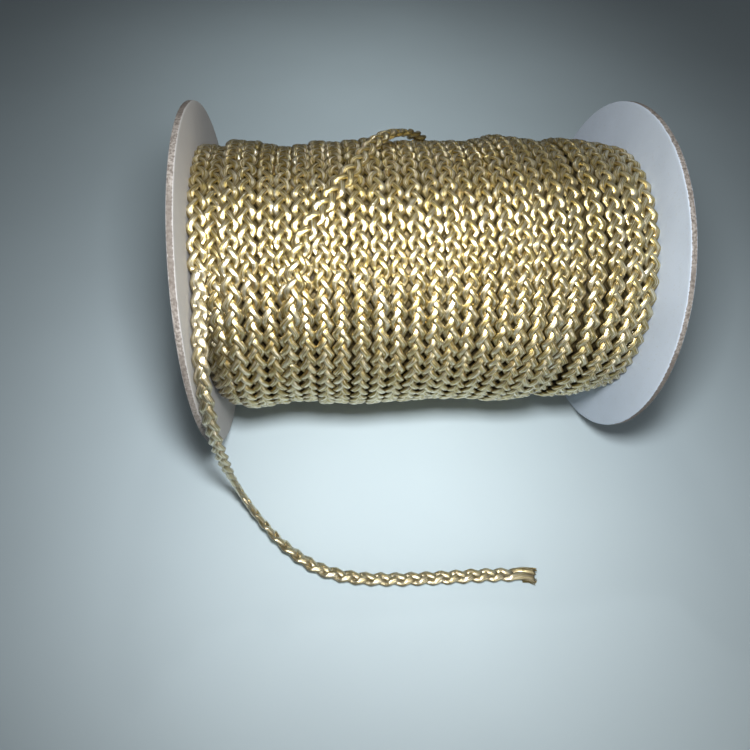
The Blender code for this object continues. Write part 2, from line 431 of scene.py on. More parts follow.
# %% Plait tree: no two stitches alike
seed_run = calculate(plait, "MULTIPLY", plait_in.outputs["Seed"], SEED_STRIDE)
strand_run = calculate(plait, "MULTIPLY_ADD", strand, STRAND_STRIDE, seed_run)
noise_run = calculate(plait, "MULTIPLY_ADD", phase, UNEVEN_PACE, strand_run)
noise = place_node(plait, "ShaderNodeTexNoise", {"W": noise_run, "Scale": 1.0}, noise_dimensions="1D")
change = calculate(plait, "MULTIPLY", calculate(plait, "SUBTRACT", noise.outputs[0], 0.5), 2.0)
change = calculate(plait, "MULTIPLY", change, plait_in.outputs["Unevenness"])
wider = calculate(plait, "ADD", change, 1.0)
thinner = calculate(plait, "SUBTRACT", 1.0, change)

# %% Plait tree: the figure of eight
def product(*values):
    total = values[0]
    for value in values[1:]:
        total = calculate(plait, "MULTIPLY", total, value)
    return total


opened = calculate(plait, "MULTIPLY_ADD", loosened, TIP_OPENING, 1.0)
straightness = plait_in.outputs["Arm straightness"]
bends = product(calculate(plait, "SINE", product(turned, 3.0)), straightness)
zigzag = calculate(plait, "SUBTRACT", calculate(plait, "SINE", turned), bends)
zigzag = calculate(plait, "DIVIDE", zigzag, calculate(plait, "ADD", straightness, 1.0))
swing = product(zigzag, plait_in.outputs["Swing"], opened, -1.0)
up_down = calculate(plait, "SINE", product(turned, 2.0))
dive = plait_in.outputs["Dive length"]
steep = calculate(plait, "SQRT", calculate(plait, "MULTIPLY_ADD", up_down, up_down, product(dive, dive)))
rises = calculate(plait, "DIVIDE", up_down, steep)
dip = product(rises, plait_in.outputs["Dip"])

# %% Plait tree: the strand's own section, tilted to follow the round of the cord
width = product(calculate(plait, "COSINE", twisted), wider, plait_in.outputs["Half width"])
thickness = product(calculate(plait, "SINE", twisted), thinner, plait_in.outputs["Half thickness"])
tilt = product(up_down, calculate(plait, "SINE", turned), plait_in.outputs["Arm tilt"])
tilt_cos = calculate(plait, "COSINE", tilt)
tilt_sin = calculate(plait, "SINE", tilt)
tilted_width = calculate(plait, "SUBTRACT", product(width, tilt_cos), product(thickness, tilt_sin))
tilted_height = calculate(plait, "ADD", product(width, tilt_sin), product(thickness, tilt_cos))
across = calculate(plait, "ADD", swing, tilted_width)
upward = calculate(plait, "ADD", dip, tilted_height)

middle = on_path(None, "FLOAT_VECTOR", ring_number)
face_way = on_path("face", "FLOAT_VECTOR", ring_number)
along_way = on_path("along", "FLOAT_VECTOR", ring_number)
ways = {0: face_way, 1: along_way}
side_way = place_node(plait, "ShaderNodeVectorMath", ways, operation="CROSS_PRODUCT").outputs[0]
spot = add_vectors(
    plait,
    middle,
    scale_by(plait, side_way, across),
    scale_by(plait, face_way, upward),
)

# %% Plait tree: what the material reads, and the result
own_run = product(strand, STRAND_RUN)
run_along = calculate(plait, "MULTIPLY_ADD", phase, PLAIT_LENGTH / MM / math.tau, own_run)
run_along = calculate(plait, "ADD", run_along, seed_run)
yarn_value = combine(
    plait,
    calculate(plait, "COSINE", twisted),
    calculate(plait, "SINE", twisted),
    run_along,
)
half_cord = calculate(plait, "ADD", plait_in.outputs["Dip"], plait_in.outputs["Half thickness"])
rise_value = calculate(plait, "DIVIDE", upward, half_cord)
stored = realized.outputs[0]
for title, kind, value in (("yarn", "FLOAT_VECTOR", yarn_value), ("rise", "FLOAT", rise_value)):
    store = place_node(
        plait,
        "GeometryNodeStoreNamedAttribute",
        {"Geometry": stored, "Name": title},
        data_type=kind,
        domain="POINT",
    )
    connect(plait, value, store.inputs["Value"])
    stored = store.outputs[0]
moved = place_node(plait, "GeometryNodeSetPosition", {"Geometry": stored, "Position": spot})
smooth = place_node(plait, "GeometryNodeSetShadeSmooth", {"Geometry": moved.outputs[0]})
finished = place_node(
    plait,
    "GeometryNodeSetMaterial",
    {"Geometry": smooth.outputs[0], "Material": plait_in.outputs["Yarn"]},
)
connect(plait, finished.outputs[0], plait_out.inputs["Cord"])
print("plait tree has", len(plait.nodes), "nodes")

# %% [markdown]
# A path is a line of points that also knows which way the cord runs, which way its flat face
# looks and how far the plaiting has come. Those are attributes of the line's mesh, worked out
# here with numpy, because a route is easier to write as a table and a formula than as nodes.

# %% Paths for the cord
def unit(vectors):
    return vectors / np.linalg.norm(vectors, axis=1)[:, None]


def spaced_evenly(fine, step):
    """Stations along a fine polyline, and their share in its point numbers."""
    run = np.concatenate([[0.0], np.cumsum(np.linalg.norm(np.diff(fine, axis=0), axis=1))])
    count = max(2, round(run[-1] / step) + 1)
    stations = np.linspace(0.0, run[-1], count)
    return stations, np.interp(stations, run, np.arange(len(fine)))


def at_numbers(table, numbers):
    """Rows of a table at fractional row numbers."""
    rows = np.arange(len(table))
    return np.stack([np.interp(numbers, rows, column) for column in np.asarray(table).T], axis=1)


def path_object(name, places, faces, phases, loosened=None):
    """A line of points with the attributes that the plait tree reads."""
    along = unit(np.gradient(places, axis=0))
    side = unit(np.cross(faces, along))
    faces = np.cross(along, side)
    mesh = bpy.data.meshes.new(name)
    links = [(index, index + 1) for index in range(len(places) - 1)]
    mesh.from_pydata(places.tolist(), links, [])
    for title, rows in (("along", along), ("face", faces)):
        values = mesh.attributes.new(title, "FLOAT_VECTOR", "POINT")
        values.data.foreach_set("vector", rows.astype(np.float32).ravel())
    if loosened is None:
        loosened = np.zeros(len(places))
    for title, rows in (("phase", phases), ("loosened", loosened)):
        values = mesh.attributes.new(title, "FLOAT", "POINT")
        values.data.foreach_set("value", rows.astype(np.float32))
    item = bpy.data.objects.new(name, mesh)
    bpy.context.collection.objects.link(item)
    return item


# %% [markdown]
# The loose end leaves the first turn at the upper front, hangs down beside the left disc, turns
# half over as it falls, and lies on the table in a long bend that runs to the right. The first
# list below is its route in millimetres, the same as in the CAD source, chosen from the
# picture. The second says which way its flat face looks at shares of its length. A smooth curve
# through the points gives the path, and over the last 7 mm the strands lie loose.

# %% Loose end: route
LOOSE_END = (
    (-62.3, -26.7, 83.7), (-62.3, -31.3, 80.0), (-62.3, -36.8, 77.0), (-62.3, -42.4, 74.0),
    (-62.3, -47.2, 70.0), (-62.3, -50.9, 64.7), (-62.3, -53.5, 58.4), (-62.3, -55.1, 51.4),
    (-62.3, -55.8, 44.0), (-62.3, -55.8, 36.4), (-62.3, -55.4, 28.8), (-61.9, -55.1, 21.2),
    (-60.9, -55.6, 14.3), (-58.8, -57.9, 9.0), (-55.4, -62.2, 6.0), (-51.0, -67.5, 4.6),
    (-46.2, -72.6, 3.6), (-40.6, -77.3, 2.8), (-34.6, -81.0, 2.1), (-28.0, -83.4, 1.6),
    (-20.0, -85.0, 1.4), (-11.0, -85.8, 1.4), (-2.0, -86.2, 1.4), (8.0, -86.4, 1.4),
    (18.0, -86.5, 1.4), (27.5, -86.9, 1.4), (36.0, -87.5, 1.4),
)
LOOSE_END_FACES = (
    (0.00, (0.0, -0.64, 0.77)), (0.22, (0.0, -0.97, 0.26)), (0.34, (-0.35, -0.94, 0.0)),
    (0.44, (-0.85, -0.5, 0.0)), (0.54, (-0.6, -0.5, -0.6)), (0.64, (-0.1, -0.2, -0.97)),
    (1.00, (0.0, 0.0, -1.0)),
)
LOOSE_STRANDS = 7.0 * MM
LOOSE_TURNING = 0.35
LOOSE_STRAND_WIDTH = 2.45 * MM
LOOSE_STEP = 0.6 * MM
LOOSENING_POWER = 1.5
CURVE_FINENESS = 20


def smooth_curve(points):
    """A fine smooth curve through a few points, in metres."""
    knots = np.array(points, dtype=float) * MM
    padded = np.vstack([2 * knots[0] - knots[1], knots, 2 * knots[-1] - knots[-2]])
    fine = []
    for index in range(1, len(padded) - 2):
        p0, p1, p2, p3 = padded[index - 1:index + 3]
        for t in np.linspace(0.0, 1.0, CURVE_FINENESS, endpoint=False):
            bend = (2 * p0 - 5 * p1 + 4 * p2 - p3) * t ** 2 + (3 * p1 - p0 - 3 * p2 + p3) * t ** 3
            fine.append(0.5 * (2 * p1 + (p2 - p0) * t + bend))
    return np.array([*fine, padded[-2]])


loose_fine = smooth_curve(LOOSE_END)
loose_stations, loose_numbers = spaced_evenly(loose_fine, LOOSE_STEP)
loose_places = at_numbers(loose_fine, loose_numbers)
LOOSE_LENGTH = float(loose_stations[-1])
loose_shares = loose_stations / LOOSE_LENGTH
face_shares = [share for share, _ in LOOSE_END_FACES]
loose_faces = np.stack(
    [np.interp(loose_shares, face_shares, [way[i] for _, way in LOOSE_END_FACES]) for i in range(3)],
    axis=1,
)
past_plait = np.maximum(loose_stations - LOOSE_LENGTH + LOOSE_STRANDS, 0.0)
loose_phases = math.tau * (loose_stations - (1.0 - LOOSE_TURNING) * past_plait) / PLAIT_LENGTH
loose_opening = (past_plait / LOOSE_STRANDS) ** LOOSENING_POWER
print("loose end is", round(LOOSE_LENGTH / MM, 1), "mm long")

# %% Loose end: the plaited piece
loose_end = path_object("loose_end_cord", loose_places, loose_faces, loose_phases, loose_opening)
loose_half = LOOSE_STRAND_WIDTH / 2
loose_swing = CORD_WIDTH / 2 - loose_half
use_tree(loose_end, plait, sides=18, half_width=loose_half, swing=loose_swing, yarn=LOOSE_YARN_PAINTED_LIGHT, seed=5)
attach(loose_end, "root")
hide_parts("loose_end")

# %% [markdown]
# The wound cord is described by unrolling it. Each turn has a place along the axis and a radius
# at its crown, and the angle round the axis keeps counting up from turn to turn, so the whole
# run is one line in (angle, place, radius). The angle is 0 at the back, 90 at the top and 180 at
# the front. A turn lies straight over all three and steps to its left neighbour underneath, where
# the spool is seldom seen. The tables are in millimetres and degrees: TURNS holds (place, crown
# radius), CROSSING (place, angle, radius), UNDER_RISES and UNDER_DIVES (angle, depth below crown).

# %% Winding: the turns as measured
TURNS = (
    (-62.5, 41.7), (-58.0, 41.4), (-53.8, 43.2), (-49.3, 42.6), (-44.6, 41.6), (-39.9, 41.5),
    (-34.9, 41.9), (-30.0, 42.4), (-25.1, 42.4), (-19.9, 43.2), (-14.6, 43.3), (-9.4, 42.5),
    (-4.3, 42.6), (0.7, 42.7), (5.6, 42.4), (10.5, 42.4), (15.4, 42.7), (20.2, 43.3),
    (25.0, 43.9), (29.9, 43.6), (34.9, 43.5), (40.2, 42.2), (45.8, 43.0), (51.4, 43.0),
    (57.0, 42.2), (62.4, 40.8),
)
CROSSING = (
    (-40.1, 166.0, 41.0), (-39.6, 159.0, 42.0), (-39.0, 152.0, 42.9), (-38.2, 145.0, 43.1),
    (-37.3, 137.0, 43.1), (-36.0, 128.0, 43.1), (-33.9, 120.0, 43.1), (-31.0, 114.0, 43.2),
    (-27.2, 106.5, 43.2), (-23.6, 99.5, 43.2), (-20.4, 92.5, 43.3), (-17.2, 85.0, 43.5),
    (-14.2, 77.0, 43.9), (-10.8, 69.5, 44.6), (-7.0, 63.5, 45.0), (-3.0, 58.0, 45.0),
    (0.8, 52.0, 44.6), (3.8, 45.0, 43.7), (5.4, 36.5, 42.8), (6.0, 27.5, 42.0), (6.2, 19.0, 41.0),
)
FLANGE_RADIUS = 53.7 * MM
FLAT_SPOT = 10.0 * MM
AXIS_HEIGHT = math.sqrt(FLANGE_RADIUS ** 2 - (FLAT_SPOT / 2) ** 2)
HALF_CORD = CORD_THICKNESS / MM / 2
FULL_TURN = 360.0
STEP_ENDS = 225.0
STEP_STARTS = 330.0
LAST_TURN = len(TURNS) - 1
CROSSED_FROM = 14
CROSSED_TO = 5
CROSSING_BASE = FULL_TURN * (LAST_TURN - CROSSED_FROM)
CROSSING_STARTS = 12.0
CROSSING_ENDS = 172.0
SETTLED_AFTER = 1.0
TUCKED_BEFORE = 35.0
RELEASE_PLACE = -62.3
RELEASE_RADIUS = 40.33
RELEASE_ANGLE = 131.4
RELEASE_EASE = 25.0
RUN_PAST = 1.2
DIVE_DEPTH = 2.9
UNDER_RISES = ((17.0, 2.8), (27.5, 1.5), (36.5, 0.7), (46.0, 0.0))
UNDER_DIVES = ((152.0, 0.0), (159.0, 0.8), (166.0, 1.9), (174.0, DIVE_DEPTH))


def lying_turns(first, last, angle):
    """Knots (angle, place, radius, turn) of turns from first down to last, from an angle on."""
    knots = []
    for turn in range(first, last - 1, -1):
        place, crown = TURNS[turn]
        for lies in (angle, angle + FULL_TURN + STEP_ENDS - STEP_STARTS):
            knots.append((lies, place, crown - HALF_CORD, turn))
        angle += FULL_TURN
    return knots


# %% Winding: the two runs
def last_run():
    """From the right disc to the crossing, over it, and on to the left disc."""
    start = STEP_STARTS - FULL_TURN
    place, crown = TURNS[LAST_TURN]
    knots = [(start - TUCKED_BEFORE, place, crown - HALF_CORD - DIVE_DEPTH, LAST_TURN)]
    knots += lying_turns(LAST_TURN, CROSSED_FROM, start)
    knots[-1] = (CROSSING_BASE + CROSSING_STARTS, *knots[-1][1:])
    for place, angle, radius in reversed(CROSSING):
        knots.append((CROSSING_BASE + angle, place, radius, -1))
    left = lying_turns(CROSSED_TO, 0, CROSSING_BASE + start)
    left[0] = (CROSSING_BASE + CROSSING_ENDS + SETTLED_AFTER, *left[0][1:])
    release = left[-2][0] + FULL_TURN - STEP_STARTS + RELEASE_ANGLE
    left[-1] = (release - RELEASE_EASE, *left[-2][1:])
    left.append((release, RELEASE_PLACE, RELEASE_RADIUS, 0))
    left.append((release + RUN_PAST, RELEASE_PLACE, RELEASE_RADIUS, 0))
    return knots + left


def crossed_run():
    """The older run, which dives under the crossing at both of its ends."""
    knots = lying_turns(CROSSED_FROM, CROSSED_TO, STEP_STARTS - FULL_TURN)
    place, radius = knots[0][1:3]
    begin = [(angle, place, radius - drop, CROSSED_FROM) for angle, drop in UNDER_RISES]
    base = knots[-2][0] + FULL_TURN - STEP_STARTS
    place, radius = knots[-1][1:3]
    end = [(base + angle, place, radius - drop, CROSSED_TO) for angle, drop in UNDER_DIVES]
    return begin + knots[1:-1] + end


LAST_RUN = last_run()
CROSSED_RUN = crossed_run()
print("last run turns through", round(LAST_RUN[-1][0] - LAST_RUN[0][0]), "degrees")

# %% [markdown]
# Hand-wound cord never lies quite true, so each run wanders a little sideways, in and out, and
# tilts on its own axis. The wander is seeded noise through soft knots, and it fades to nothing
# where the winding hands over to the loose end, so that the plait runs on without a step. Each
# pair for a wander below is the distance between its knots and the most that it can reach.

# %% Winding: from knots to a path
WIND_STEP = 0.76 * MM
ANGLE_STEP = 0.5
SMOOTHED_OVER = 17.0
STEADY_MARGIN = 4.0
RUN_RADIUS = 41.0
FADE_LENGTH = 40.0
WAVE_HEIGHT = 0.25
WAVE_SHIFT = 1.7
RADIUS_WANDER = (23.0, 0.16)
PLACE_WANDER = (31.0, 0.14)
TILT_WANDER = (19.0, math.radians(8.0))
PACE_WANDER = (90.0, 0.03)


def soften(values, degrees):
    """Smooth a row of values, one for each ANGLE_STEP, over a window of degrees."""
    half = round(degrees / ANGLE_STEP / 2)
    window = np.hanning(2 * half + 3)[1:-1]
    ends = 2 * values[0] - values[half:0:-1], 2 * values[-1] - values[-2:-half - 2:-1]
    padded = np.concatenate([ends[0], values, ends[1]])
    return np.convolve(padded, window / window.sum(), mode="valid")


def wander(run, spacing, size, rng):
    """Smooth noise along a run, with a random knot at each spacing."""
    knots = rng.uniform(-size, size, int(run[-1] / spacing) + 3)
    number = run / spacing
    low = number.astype(int)
    share = 0.5 - 0.5 * np.cos(np.pi * (number - low))
    return knots[low] * (1 - share) + knots[low + 1] * share


def wound_path(knots, seed, fade=False):
    """Evenly spaced places, faces, phases and angles of a wound run, from its knots."""
    rng = np.random.default_rng(seed)
    table = np.array([knot[:3] for knot in knots])
    angles = np.arange(table[0, 0], table[-1, 0], ANGLE_STEP)
    place = soften(np.interp(angles, table[:, 0], table[:, 1]), SMOOTHED_OVER)
    radius = soften(np.interp(angles, table[:, 0], table[:, 2]), SMOOTHED_OVER)
    turns = np.array([(knot[0], knot[3]) for knot in knots if knot[3] >= 0], dtype=float)
    on_turn = np.interp(angles, turns[:, 0], turns[:, 1])
    crossing = np.array([knot[0] for knot in knots if knot[3] < 0])
    steady = np.ones(len(angles))
    if len(crossing):
        steady -= (angles > crossing[0] - STEADY_MARGIN) & (angles < crossing[-1] + STEADY_MARGIN)
    steady = soften(steady, SMOOTHED_OVER)
    run = np.radians(angles - angles[0]) * RUN_RADIUS
    fading = np.clip((run[-1] - run) / FADE_LENGTH, 0.0, 1.0) if fade else np.ones(len(run))
    wave = WAVE_HEIGHT * np.sin(2 * np.radians(angles) + WAVE_SHIFT * on_turn)
    radius += wave * steady * fading + wander(run, *RADIUS_WANDER, rng) * fading
    place += wander(run, *PLACE_WANDER, rng) * fading
    tilt = wander(run, *TILT_WANDER, rng) * fading
    quicken = wander(run, *PACE_WANDER, rng)
    turned = np.radians(angles)
    out = np.stack([np.zeros(len(turned)), np.cos(turned), np.sin(turned)], axis=1)
    fine = out * radius[:, None] * MM
    fine[:, 0] = place * MM
    fine[:, 2] += AXIS_HEIGHT
    face = out * np.cos(tilt)[:, None]
    face[:, 0] = np.sin(tilt)
    stations, numbers = spaced_evenly(fine, WIND_STEP)
    steps = np.diff(stations, prepend=0.0) * (1.0 + at_numbers(quicken[:, None], numbers)[:, 0])
    phases = math.tau * np.cumsum(steps) / WOUND_PLAIT_LENGTH
    run_past = math.radians(RUN_PAST) * RELEASE_RADIUS * MM
    phases -= phases[-1] - math.tau * run_past / WOUND_PLAIT_LENGTH
    places = at_numbers(fine, numbers)
    faces = at_numbers(face, numbers)
    return places, faces, phases, at_numbers(angles[:, None], numbers)[:, 0]


# %% Winding: cut the runs into pieces
RUN_START = -math.inf
RUN_END = math.inf
LAST_RUN_SEED = 3
CROSSED_RUN_SEED = 4


def wound_piece(name, path, first, last, seed, yarn=OUTER_YARN):
    """The part of a run between two angles, plaited."""
    places, faces, phases, angles = path
    low = max(0, np.searchsorted(angles, first) - 1)
    high = np.searchsorted(angles, last)
    part = slice(low, high)
    item = path_object(name, places[part], faces[part], phases[part])
    use_tree(item, plait, yarn=yarn, seed=seed, swing=(WOUND_WIDTH - STRAND_WIDTH) / 2)
    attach(item, "root")
    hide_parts("winding")
    return item


last_path = wound_path(LAST_RUN, 11, fade=True)
crossed_path = wound_path(CROSSED_RUN, 23)
crossing_from = CROSSING_BASE + CROSSING_STARTS
crossing_until = CROSSING_BASE + CROSSING_ENDS
right_cut = FULL_TURN * 5 + STEP_STARTS
middle_cut = FULL_TURN * 4 + STEP_STARTS
wound_piece("right_turns_outer", last_path, RUN_START, right_cut, LAST_RUN_SEED)
wound_piece("right_turns_inner", last_path, right_cut, crossing_from, LAST_RUN_SEED)
wound_piece("crossing_turn", last_path, crossing_from, crossing_until, LAST_RUN_SEED)
wound_piece("left_turns", last_path, crossing_until, RUN_END, LAST_RUN_SEED)
wound_piece("middle_turns_right", crossed_path, RUN_START, middle_cut, CROSSED_RUN_SEED)
wound_piece("middle_turns_left", crossed_path, middle_cut, RUN_END, CROSSED_RUN_SEED)

# %% [markdown]
# Where the first turn has left for the loose end, the next layer down shows beside the left disc.
# One turn of it is real plait. The rest of that layer is only guessed at through thin gaps, so
# it is one ridged roll, a lathe shape that follows the crowns of the turns above it.

# %% Lower layer
LOWER_TURNS = (("lower_turn_left", -60.9, 38.0), ("lower_turn_right", 62.1, 37.7))
LOWER_START = 60.0

for number, (name, place, radius) in enumerate(LOWER_TURNS):
    knots = [(LOWER_START + angle, place, radius, 0) for angle in (0.0, 180.0, 360.0)]
    path = wound_path(knots, 40 + number)
    wound_piece(name, path, RUN_START, RUN_END, 50 + number, LOWER_YARN_PAINTED_SHADE)

ROLL_END = 64.6
ROLL_DEPTH = 2.6
ROLL_VALLEY = 0.6
ROLL_SEGMENTS = 120
ROLL_LEFT = ((-ROLL_END, 36.5), (-60.2, 36.5))
ROLL_RIGHT = ((60.0, 36.4), (ROLL_END, 36.4))
ROLL_LAST_VALLEY = 59.2
ROLL_VALLEYS_UNTIL = 59.4


def roll_outline():
    """(place, radius) rows of the roll below the outer turns, left to right."""
    rows = [*ROLL_LEFT]
    for turn in range(1, len(TURNS) - 1):
        place, crown = TURNS[turn]
        after = (place + TURNS[turn + 1][0]) / 2
        rows.append((place, crown - ROLL_DEPTH))
        valley = min(crown, TURNS[turn + 1][1]) - ROLL_DEPTH - ROLL_VALLEY
        rows.append((min(after, ROLL_VALLEYS_UNTIL), valley))
    rows[-1] = (ROLL_LAST_VALLEY, rows[-2][1] - ROLL_VALLEY)
    return rows + [*ROLL_RIGHT]


def closed_faces(rings, count):
    """Faces of a closed shape made of rings of points, with a flat face over each end."""
    faces = [tuple(reversed(range(count))), tuple(range((rings - 1) * count, rings * count))]
    for ring in range(rings - 1):
        low, high = ring * count, (ring + 1) * count
        for index in range(count):
            after = (index + 1) % count
            faces.append((low + after, high + after, high + index, low + index))
    return faces


def lathe_mesh(name, rows, segments):
    """A closed mesh of rings round the spool's axis, with flat ends."""
    turned = np.linspace(0.0, math.tau, segments, endpoint=False)
    points = []
    for place, radius in rows:
        for angle in turned:
            height = AXIS_HEIGHT + radius * MM * math.sin(angle)
            points.append((place * MM, radius * MM * math.cos(angle), height))
    mesh = bpy.data.meshes.new(name)
    mesh.from_pydata(points, [], closed_faces(len(rows), segments))
    mesh.shade_smooth()
    mesh.set_sharp_from_angle(angle=math.radians(40))
    return mesh


# %% [markdown]
# The roll sits in shade, and its colour is painted shade: near-black with a dark gold in it, so
# the light that does get in still finds the cord's gold and its crosswise stitches: bands round the
# axis broken up by a fine noise.

# %% Shaded cord material
# Both colours are painted shade: the cord's gold, darkened for the shade that the roll sits in.
SHADED_DARK = (0.02, 0.014, 0.006)
SHADED_LIGHT = (0.16, 0.12, 0.05)
SHADED_RELIEF = 0.6 * MM


def shaded_cord():
    material, tree, shader = new_material("shaded cord", 0.5, 0.7)
    place = place_node(tree, "ShaderNodeTexCoord").outputs["Object"]
    noise = place_node(tree, "ShaderNodeTexNoise", {"Vector": place, "Scale": 420.0, "Detail": 3.0})
    colour = ramp(tree, noise.outputs[0], (0.4, SHADED_DARK), (0.65, SHADED_LIGHT))
    connect(tree, colour, shader.inputs["Base Color"])
    raise_surface(tree, shader, noise.outputs[0], 0.8, SHADED_RELIEF)
    return material


roll_mesh = lathe_mesh("lower_layer", roll_outline(), ROLL_SEGMENTS)
lower_layer = bpy.data.objects.new("lower_layer", roll_mesh)
lower_layer.data.materials.append(shaded_cord())
bpy.context.collection.objects.link(lower_layer)
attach(lower_layer, "root")
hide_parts("winding")
print("lower layer has", len(lower_layer.data.polygons), "faces")

# %% [markdown]
# The discs are grey card with white paper on both faces. The rim is where they were punched out:
# the brown-grey core shows between two thin white lines, a little rough and dented. The CAD
# discs have the right size, so the finer ones follow the same outline with its flat spot, add a
# soft rounded edge, and dent the rim inwards by a few hundredths of a millimetre.

# %% Card material
CARD_PAPER = (0.44, 0.50, 0.58)
# The left disc's paper is darker and greyer than the right's: painted shade, as its inner face gets less
# light.
CARD_PAINTED_SHADE = (0.365, 0.355, 0.345)
CARD_CORE_DARK = (0.12, 0.10, 0.085)
CARD_CORE_LIGHT = (0.34, 0.31, 0.28)
CARD_SPECK = (0.33, 0.30, 0.26)
CARD_RELIEF = 0.2 * MM
PAPER_RAGGED = 0.6 * MM
RIM_WEAR = 1.2 * MM
RIM_BAND = (0.6 * MM, 0.2 * MM)
FLANGE_THICKNESS = 1.8 * MM
INNER_WIDTH = 130.0 * MM


def card(name, paper, middle):
    """Paper-faced card for a disc whose middle is at a place along the axis."""
    material, tree, shader = new_material(name, 0.8, 0.0)
    place = place_node(tree, "ShaderNodeTexCoord").outputs["Object"]
    parts = place_node(tree, "ShaderNodeSeparateXYZ", {0: place}).outputs
    rise = calculate(tree, "SUBTRACT", parts[2], AXIS_HEIGHT)
    squares = [calculate(tree, "MULTIPLY", part, part) for part in (parts[1], rise)]
    reach = calculate(tree, "SQRT", calculate(tree, "ADD", *squares))
    speckle = place_node(tree, "ShaderNodeGroup", {"Place": place}, node_tree=SPECKLE)
    grain, stain = speckle.outputs["Grain"], speckle.outputs["Stain"]
    face = ramp(tree, stain, (0.3, [0.9 * part for part in paper]), (0.6, paper))
    speck = remap(tree, grain, 0.62, 0.7, 0.0, 0.25)
    face = mix(tree, speck, face, (*CARD_SPECK, 1.0))
    core = ramp(tree, grain, (0.35, CARD_CORE_DARK), (0.65, CARD_CORE_LIGHT))
    soiled = remap(tree, stain, 0.5, 0.62, 0.0, 0.7)
    core = mix(tree, soiled, core, (*CARD_CORE_DARK, 1.0))
    off_middle = calculate(tree, "ABSOLUTE", calculate(tree, "SUBTRACT", parts[0], middle))
    uneven = calculate(tree, "SUBTRACT", grain, 0.5)
    ragged = calculate(tree, "MULTIPLY_ADD", uneven, PAPER_RAGGED, off_middle)
    paper_edge = remap(tree, ragged, FLANGE_THICKNESS * 0.36, FLANGE_THICKNESS * 0.42)
    rim = mix(tree, paper_edge, core, (*paper, 1.0))
    patchy = calculate(tree, "SUBTRACT", stain, 0.5)
    worn = calculate(tree, "MULTIPLY_ADD", patchy, RIM_WEAR, reach)
    at_rim = remap(tree, worn, *(FLANGE_RADIUS - inset for inset in RIM_BAND))
    connect(tree, mix(tree, at_rim, face, rim), shader.inputs["Base Color"])
    raise_surface(tree, shader, grain, 0.25, CARD_RELIEF)
    return material


# %% Card discs
DISC_SEGMENTS = 216
DISC_EDGE = 0.3 * MM
EDGE_STEPS = 4
RIM_ROUGHNESS = 0.06 * MM
UNDENTED = 3
DISC_RINGS = (8.0, 20.0, 32.0, 42.0, 49.0, 52.6)


def disc_outline(inset):
    """Angles and radius of the disc's outline, its flat spot at the table."""
    radius = FLANGE_RADIUS - inset
    start = math.asin((inset - AXIS_HEIGHT) / radius)
    return np.linspace(start, math.pi - start, DISC_SEGMENTS), radius


def disc_mesh(name, side, seed):
    """A closed disc of rings that run from the inner face's middle round the rim to the outer."""
    rng = np.random.default_rng(seed)
    dents = rng.normal(0.0, RIM_ROUGHNESS, DISC_SEGMENTS)
    dents = -np.abs(np.convolve(dents, (0.25, 0.5, 0.25), mode="same"))
    dents[:UNDENTED] = dents[-UNDENTED:] = 0.0
    half = FLANGE_THICKNESS / 2
    profile = [(-half, FLANGE_RADIUS - reach * MM) for reach in DISC_RINGS]
    for angle in np.linspace(0.0, math.pi / 2, EDGE_STEPS):
        offset = -half + DISC_EDGE * (1 - math.cos(angle))
        profile.append((offset, DISC_EDGE * (1 - math.sin(angle))))
    profile += [(-offset, inset) for offset, inset in reversed(profile)]
    middle = side * (INNER_WIDTH / 2 + half)
    points = []
    for offset, inset in profile:
        angles, radius = disc_outline(inset)
        share = max(0.0, 1.0 - inset / DISC_EDGE / 3)
        for angle, dent in zip(angles, dents):
            reach = radius + dent * share
            height = AXIS_HEIGHT + reach * math.sin(angle)
            points.append((middle + offset, reach * math.cos(angle), height))
    mesh = bpy.data.meshes.new(name)
    mesh.from_pydata(points, [], closed_faces(len(profile), DISC_SEGMENTS))
    mesh.shade_smooth()
    mesh.set_sharp_from_angle(angle=math.radians(50))
    return mesh


# The left disc takes the darker paper, as painted shade.
DISCS = (
    ("left_disc", "flange_left", -1.0, CARD_PAINTED_SHADE),
    ("right_disc", "flange_right", 1.0, CARD_PAPER),
)
for number, (name, node, side, paper) in enumerate(DISCS):
    disc = bpy.data.objects.new(name, disc_mesh(name, side, 70 + number))
    disc_middle = side * (INNER_WIDTH + FLANGE_THICKNESS) / 2
    disc.data.materials.append(card(name + " card", paper, disc_middle))
    bpy.context.collection.objects.link(disc)
    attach(disc, "root")
    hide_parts(node)
    print(name, "has", len(disc.data.polygons), "faces")

# %% [markdown]
# The cut end of the cord has begun to fray: short bright fibres stand out of the three strands.
# Each is a line of a few points, and a small Geometry Nodes tree gives all of them a round
# section that follows the line.

# %% Fibre tree
fibres, fibres_in, fibres_out = new_tree(
    "fibres",
    "GeometryNodeTree",
    (
        ("Lines", "NodeSocketGeometry", None),
        ("Radius", "NodeSocketFloat", 0.11 * MM),
        ("Sides", "NodeSocketInt", 6),
        ("Yarn", "NodeSocketMaterial", None),
    ),
    (("Fibres", "NodeSocketGeometry"),),
)
fibre_curves = place_node(fibres, "GeometryNodeMeshToCurve", {0: fibres_in.outputs["Lines"]})
fibre_section = place_node(
    fibres,
    "GeometryNodeCurvePrimitiveCircle",
    {"Resolution": fibres_in.outputs["Sides"], "Radius": fibres_in.outputs["Radius"]},
)
fibre_tubes = place_node(
    fibres,
    "GeometryNodeCurveToMesh",
    {
        "Curve": fibre_curves.outputs[0],
        "Profile Curve": fibre_section.outputs[0],
        "Fill Caps": True,
    },
)
fibre_realized = place_node(fibres, "GeometryNodeRealizeInstances", {0: fibre_tubes.outputs[0]})
fibre_smooth = place_node(fibres, "GeometryNodeSetShadeSmooth", {0: fibre_realized.outputs[0]})
fibre_finished = place_node(
    fibres,
    "GeometryNodeSetMaterial",
    {"Geometry": fibre_smooth.outputs[0], "Material": fibres_in.outputs["Yarn"]},
)
